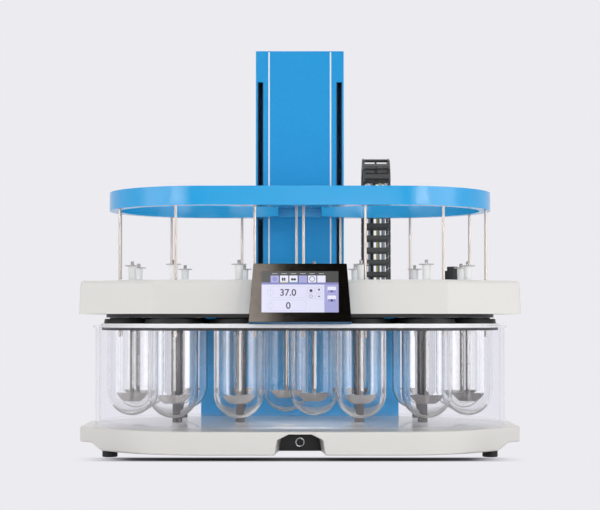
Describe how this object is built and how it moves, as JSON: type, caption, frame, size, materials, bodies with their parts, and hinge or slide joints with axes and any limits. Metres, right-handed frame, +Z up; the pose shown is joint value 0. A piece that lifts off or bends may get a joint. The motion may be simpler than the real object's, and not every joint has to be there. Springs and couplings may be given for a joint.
{
  "type": "dissolution tester",
  "caption": "Bench dissolution tester: glass vessels in a clear bath under a lifting stirring head with paddles, a sampling manifold and a touch display on a column.",
  "frame": {"origin": "on the bench under the middle of the whole instrument", "axes": "+Z up, +Y to the back, +X to the right seen from the front"},
  "size_m": [0.988, 0.729, 0.974],
  "materials": {
    "white_casting": "satin white",
    "white_plastic": "moulded white",
    "blue_paint": "fine textured blue powder coat",
    "blue_casting": "satin blue",
    "black_plastic": "matt black",
    "black_rubber": "matt black",
    "steel": "ground steel",
    "bright_ring": "polished",
    "aluminium": "anodised",
    "vessel_glass": "clear",
    "clear_acrylic": "clear",
    "screen": "glossy"
  },
  "bodies": {
    "frame": {"base": "white_casting", "feet": "black_rubber", "recess_panel": "black_plastic", "button_bezel": "bright_ring", "rear_housing": "blue_paint", "rear_panel": "black_plastic", "tower_shell": "blue_paint", "slot_brushes": "black_plastic", "lift_column": "aluminium", "lift_motor": "black_plastic", "bath_heater": "steel", "tank": "clear_acrylic", "support_posts": "steel", "vessel_plate": "white_casting", "plate_lining": "black_plastic", "cable_chain": "black_plastic", "vessel_1": "vessel_glass", "vessel_2": "vessel_glass", "vessel_3": "vessel_glass", "vessel_4": "vessel_glass", "vessel_5": "vessel_glass", "vessel_6": "vessel_glass", "vessel_7": "vessel_glass", "vessel_8": "vessel_glass", "vessel_9": "vessel_glass", "vessel_10": "vessel_glass", "vessel_11": "vessel_glass", "vessel_12": "vessel_glass", "vessel_13": "vessel_glass", "vessel_14": "vessel_glass"},
    "head": {"head_shell": "white_casting", "head_floor": "black_plastic", "head_carriage": "aluminium", "spindle_bearings": "steel", "spindle_caps": "white_plastic", "vessel_covers": "black_plastic", "drive_motor": "black_plastic", "drive_belt": "black_rubber", "display_housing": "black_plastic", "display_screen": "screen", "sensor_module": "black_plastic"},
    "manifold": {"manifold": "blue_casting", "probes": "steel", "manifold_carriage": "aluminium"},
    "power_button": {"power_button": "black_plastic"},
    "lift_screw": {"lift_screw": "steel"},
    "paddle_1": {"paddle_1": "steel"},
    "paddle_2": {"paddle_2": "steel"},
    "paddle_3": {"paddle_3": "steel"},
    "paddle_4": {"paddle_4": "steel"},
    "paddle_5": {"paddle_5": "steel"},
    "paddle_6": {"paddle_6": "steel"},
    "paddle_7": {"paddle_7": "steel"},
    "paddle_8": {"paddle_8": "steel"},
    "paddle_9": {"paddle_9": "steel"},
    "paddle_10": {"paddle_10": "steel"},
    "paddle_11": {"paddle_11": "steel"},
    "paddle_12": {"paddle_12": "steel"},
    "paddle_13": {"paddle_13": "steel"},
    "paddle_14": {"paddle_14": "steel"}
  },
  "joints": [
    {"name": "head_lift", "type": "slide", "parent": "frame", "child": "head", "axis": [0, 0, 1], "range_m": [0, 0.23], "deforming": ["cable_chain"]},
    {"name": "manifold_drop", "type": "slide", "parent": "head", "child": "manifold", "axis": [0, 0, 1], "range_m": [-0.1, 0]},
    {"name": "power_button_press", "type": "slide", "parent": "frame", "child": "power_button", "axis": [0, 1, 0], "range_m": [0, 0.0015], "stiffness_N_per_m": 400},
    {"name": "lift_screw_turn", "type": "hinge", "parent": "frame", "child": "lift_screw", "pos_m": [0, 0.2565, 0.5], "axis": [0, 0, 1], "range_deg": [0, 4145]},
    {"name": "paddle_1_spin", "type": "hinge", "parent": "head", "child": "paddle_1", "pos_m": [-0.03231, -0.00356, 0.3], "axis": [0, 0, 1], "continuous": true},
    {"name": "paddle_2_spin", "type": "hinge", "parent": "head", "child": "paddle_2", "pos_m": [-0.13406, 0.09819, 0.3], "axis": [0, 0, 1], "continuous": true},
    {"name": "paddle_3_spin", "type": "hinge", "parent": "head", "child": "paddle_3", "pos_m": [-0.27794, 0.09819, 0.3], "axis": [0, 0, 1], "continuous": true},
    {"name": "paddle_4_spin", "type": "hinge", "parent": "head", "child": "paddle_4", "pos_m": [-0.37969, -0.00356, 0.3], "axis": [0, 0, 1], "continuous": true},
    {"name": "paddle_5_spin", "type": "hinge", "parent": "head", "child": "paddle_5", "pos_m": [-0.37969, -0.14744, 0.3], "axis": [0, 0, 1], "continuous": true},
    {"name": "paddle_6_spin", "type": "hinge", "parent": "head", "child": "paddle_6", "pos_m": [-0.27794, -0.24919, 0.3], "axis": [0, 0, 1], "continuous": true},
    {"name": "paddle_7_spin", "type": "hinge", "parent": "head", "child": "paddle_7", "pos_m": [-0.13406, -0.24919, 0.3], "axis": [0, 0, 1], "continuous": true},
    {"name": "paddle_8_spin", "type": "hinge", "parent": "head", "child": "paddle_8", "pos_m": [0.37969, -0.00356, 0.3], "axis": [0, 0, 1], "continuous": true},
    {"name": "paddle_9_spin", "type": "hinge", "parent": "head", "child": "paddle_9", "pos_m": [0.27794, 0.09819, 0.3], "axis": [0, 0, 1], "continuous": true},
    {"name": "paddle_10_spin", "type": "hinge", "parent": "head", "child": "paddle_10", "pos_m": [0.13406, 0.09819, 0.3], "axis": [0, 0, 1], "continuous": true},
    {"name": "paddle_11_spin", "type": "hinge", "parent": "head", "child": "paddle_11", "pos_m": [0.03231, -0.14744, 0.3], "axis": [0, 0, 1], "continuous": true},
    {"name": "paddle_12_spin", "type": "hinge", "parent": "head", "child": "paddle_12", "pos_m": [0.13406, -0.24919, 0.3], "axis": [0, 0, 1], "continuous": true},
    {"name": "paddle_13_spin", "type": "hinge", "parent": "head", "child": "paddle_13", "pos_m": [0.27794, -0.24919, 0.3], "axis": [0, 0, 1], "continuous": true},
    {"name": "paddle_14_spin", "type": "hinge", "parent": "head", "child": "paddle_14", "pos_m": [0.37969, -0.14744, 0.3], "axis": [0, 0, 1], "continuous": true}
  ],
  "couplings": [
    {"joint": "paddle_2_spin", "follows": "paddle_1_spin", "ratio": 1},
    {"joint": "paddle_3_spin", "follows": "paddle_1_spin", "ratio": 1},
    {"joint": "paddle_4_spin", "follows": "paddle_1_spin", "ratio": 1},
    {"joint": "paddle_5_spin", "follows": "paddle_1_spin", "ratio": 1},
    {"joint": "paddle_6_spin", "follows": "paddle_1_spin", "ratio": 1},
    {"joint": "paddle_7_spin", "follows": "paddle_1_spin", "ratio": 1},
    {"joint": "paddle_8_spin", "follows": "paddle_1_spin", "ratio": 1},
    {"joint": "paddle_9_spin", "follows": "paddle_1_spin", "ratio": 1},
    {"joint": "paddle_10_spin", "follows": "paddle_1_spin", "ratio": 1},
    {"joint": "paddle_11_spin", "follows": "paddle_1_spin", "ratio": 1},
    {"joint": "paddle_12_spin", "follows": "paddle_1_spin", "ratio": 1},
    {"joint": "paddle_13_spin", "follows": "paddle_1_spin", "ratio": 1},
    {"joint": "paddle_14_spin", "follows": "paddle_1_spin", "ratio": 1},
    {"joint": "lift_screw_turn", "follows": "head_lift", "rad_per_m": 314.16}
  ]
}
